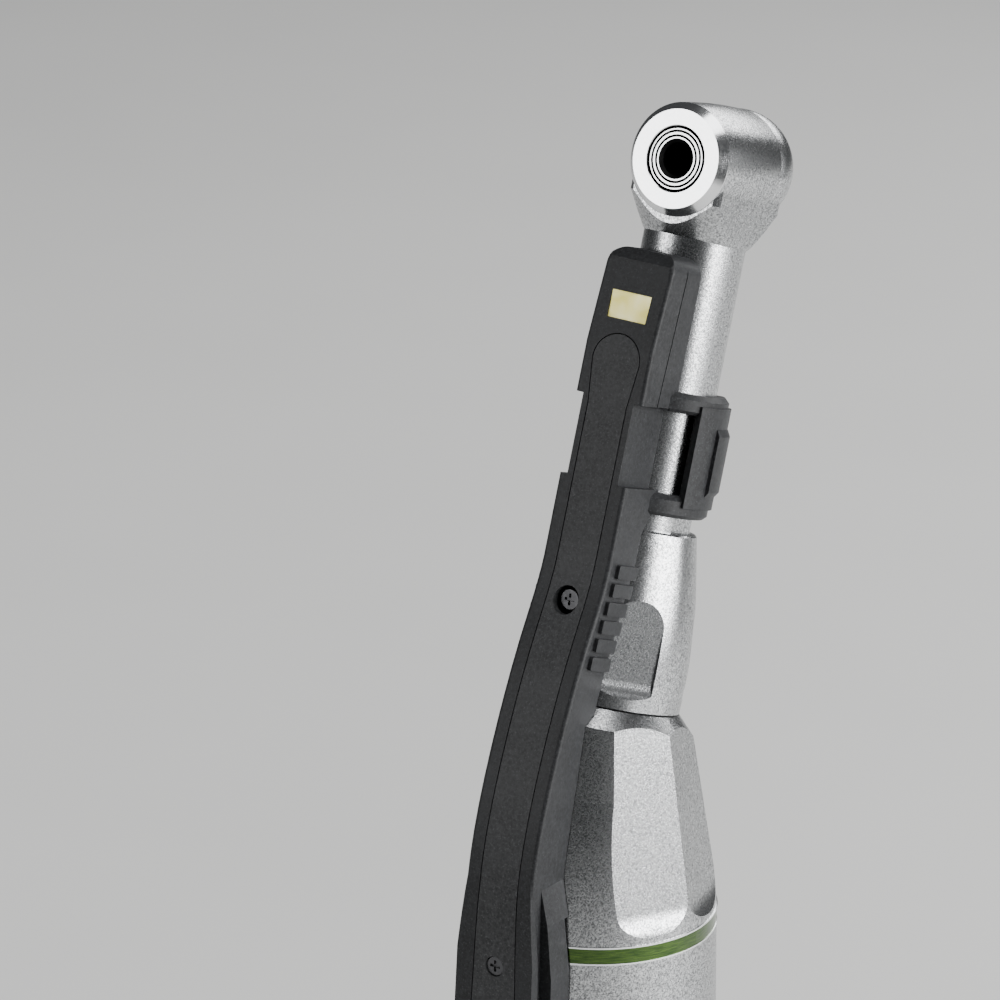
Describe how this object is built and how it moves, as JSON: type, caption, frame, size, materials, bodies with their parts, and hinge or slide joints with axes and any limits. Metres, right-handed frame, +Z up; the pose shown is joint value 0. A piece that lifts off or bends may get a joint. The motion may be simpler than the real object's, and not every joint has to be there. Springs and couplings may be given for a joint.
{
  "type": "dental reduction handpiece",
  "caption": "Cordless dental motor handpiece with a bent green-band reduction contra-angle, latch head for a bur and a clip-on LED arm.",
  "frame": {"origin": "centre of the flat tail face, on the handle axis", "axes": "+Z up the handle towards the head, -Y the side that the bur and the LED arm are on, +X to the right of that side"},
  "size_m": [0.022, 0.0311, 0.1819],
  "materials": {
    "satin_steel": "satin bead-blasted",
    "polished_steel": "polished",
    "gear_steel": "ground and oiled",
    "bearing_steel": "polished",
    "green_band": "anodised metallic green",
    "arm_plastic": "fine moulded texture",
    "arm_cover_plastic": "fine moulded texture",
    "led_lens": "frosted warm white",
    "flex_copper": "laminated",
    "circuit_board": "solder mask",
    "handle_shell": "satin moulded",
    "handle_trim": "satin moulded",
    "button_rubber": "soft satin",
    "display_glass": "clear over black",
    "contact_gold": "gold plated",
    "motor_steel": "dark phosphate",
    "winding_copper": "enamelled wire",
    "battery_wrap": "shrink sleeve",
    "seal_rubber": "soft",
    "spring_steel": "bright"
  },
  "bodies": {
    "handle": {"handle_front_shell": "handle_shell", "handle_back_shell": "handle_shell", "handle_screws": "gear_steel", "control_board": "circuit_board", "display_window": "display_glass", "battery_cell": "battery_wrap", "tail_cap": "handle_trim", "charge_contacts": "contact_gold", "contact_ring": "contact_gold", "motor_can": "motor_steel", "motor_winding": "winding_copper", "motor_nose": "polished_steel", "motor_bearing_outer": "bearing_steel", "nose_seal": "seal_rubber"},
    "nose_ring": {"nose_snap_ring": "spring_steel"},
    "contra_angle": {"head_housing": "satin_steel", "head_face_ring": "polished_steel", "head_back_ring": "polished_steel", "mid_sleeve": "satin_steel", "grip_sleeve": "satin_steel", "ratio_band": "green_band", "band_trim_rings": "polished_steel", "rear_sleeve": "satin_steel", "ring_gear": "gear_steel", "head_bearing_outer": "bearing_steel", "neck_bearing_outer": "bearing_steel", "gear_bearing_outer": "bearing_steel", "arm_shell": "arm_plastic", "arm_cover": "arm_cover_plastic", "arm_screws": "gear_steel", "led_flex": "flex_copper", "led_window": "led_lens", "led_board": "circuit_board", "neck_clip": "arm_plastic", "collar_ring": "arm_plastic", "collar_contacts": "contact_gold", "push_cap_spring": "spring_steel"},
    "rotor": {"motor_shaft": "bearing_steel", "drive_dog": "gear_steel", "motor_rotor": "motor_steel", "motor_bearing_inner": "bearing_steel"},
    "input_shaft": {"sun_shaft": "gear_steel", "input_bearing_inner": "bearing_steel"},
    "carrier": {"planet_carrier": "gear_steel", "carrier_crown_gear": "gear_steel", "carrier_bearing_inner": "bearing_steel"},
    "planet_1": {"planet_gear_1": "gear_steel"},
    "planet_2": {"planet_gear_2": "gear_steel"},
    "planet_3": {"planet_gear_3": "gear_steel"},
    "neck_drive": {"neck_shaft": "gear_steel", "neck_crown_gear": "gear_steel", "neck_bearing_inner": "bearing_steel"},
    "chuck": {"chuck_spindle": "polished_steel", "chuck_gear": "gear_steel", "chuck_latch": "gear_steel", "head_bearing_inner": "bearing_steel"},
    "release_cap": {"push_cap": "satin_steel"},
    "power_key": {"power_button": "button_rubber"},
    "up_key": {"up_button": "button_rubber"},
    "down_key": {"down_button": "button_rubber"}
  },
  "joints": [
    {"name": "swivel", "type": "hinge", "parent": "handle", "child": "nose_ring", "pos_m": [0, 0, 0.118], "axis": [0, 0, 1], "continuous": true},
    {"name": "pull_off", "type": "slide", "parent": "nose_ring", "child": "contra_angle", "axis": [0, 0, 1], "range_m": [0, 0.02]},
    {"name": "rotor_spin", "type": "hinge", "parent": "nose_ring", "child": "rotor", "pos_m": [0, 0, 0.09], "axis": [0, 0, 1], "continuous": true},
    {"name": "input_spin", "type": "hinge", "parent": "contra_angle", "child": "input_shaft", "pos_m": [0, 0, 0.13], "axis": [0, 0, 1], "continuous": true},
    {"name": "carrier_spin", "type": "hinge", "parent": "contra_angle", "child": "carrier", "pos_m": [0, 0, 0.133], "axis": [0, 0, 1], "continuous": true},
    {"name": "planet_spin_1", "type": "hinge", "parent": "carrier", "child": "planet_1", "pos_m": [0.003, 0, 0.13], "axis": [0, 0, 1], "continuous": true},
    {"name": "planet_spin_2", "type": "hinge", "parent": "carrier", "child": "planet_2", "pos_m": [-0.0015, 0.0026, 0.13], "axis": [0, 0, 1], "continuous": true},
    {"name": "planet_spin_3", "type": "hinge", "parent": "carrier", "child": "planet_3", "pos_m": [-0.0015, -0.0026, 0.13], "axis": [0, 0, 1], "continuous": true},
    {"name": "neck_spin", "type": "hinge", "parent": "contra_angle", "child": "neck_drive", "pos_m": [0, 0, 0.138], "axis": [0, 0.3034, 0.9529], "continuous": true},
    {"name": "chuck_spin", "type": "hinge", "parent": "contra_angle", "child": "chuck", "pos_m": [0, 0.01237, 0.17687], "axis": [0, -0.9529, 0.3034], "continuous": true},
    {"name": "cap_press", "type": "slide", "parent": "contra_angle", "child": "release_cap", "axis": [0, -0.9529, 0.3034], "range_m": [0, 0.0005], "stiffness_N_per_m": 4000, "springref_m": -0.0005, "deforming": ["push_cap_spring"]},
    {"name": "power_press", "type": "slide", "parent": "handle", "child": "power_key", "axis": [0, -1, 0], "range_m": [0, 0.0005], "stiffness_N_per_m": 2000, "springref_m": -0.0005},
    {"name": "up_press", "type": "slide", "parent": "handle", "child": "up_key", "axis": [0, -1, 0], "range_m": [0, 0.0005], "stiffness_N_per_m": 2000, "springref_m": -0.0005},
    {"name": "down_press", "type": "slide", "parent": "handle", "child": "down_key", "axis": [0, -1, 0], "range_m": [0, 0.0005], "stiffness_N_per_m": 2000, "springref_m": -0.0005}
  ],
  "couplings": [
    {"joint": "input_spin", "follows": "rotor_spin", "ratio": 1},
    {"joint": "carrier_spin", "follows": "rotor_spin", "ratio": 0.25},
    {"joint": "planet_spin_1", "follows": "rotor_spin", "ratio": -0.75},
    {"joint": "planet_spin_2", "follows": "rotor_spin", "ratio": -0.75},
    {"joint": "planet_spin_3", "follows": "rotor_spin", "ratio": -0.75},
    {"joint": "neck_spin", "follows": "rotor_spin", "ratio": 0.25},
    {"joint": "chuck_spin", "follows": "rotor_spin", "ratio": -0.1}
  ]
}
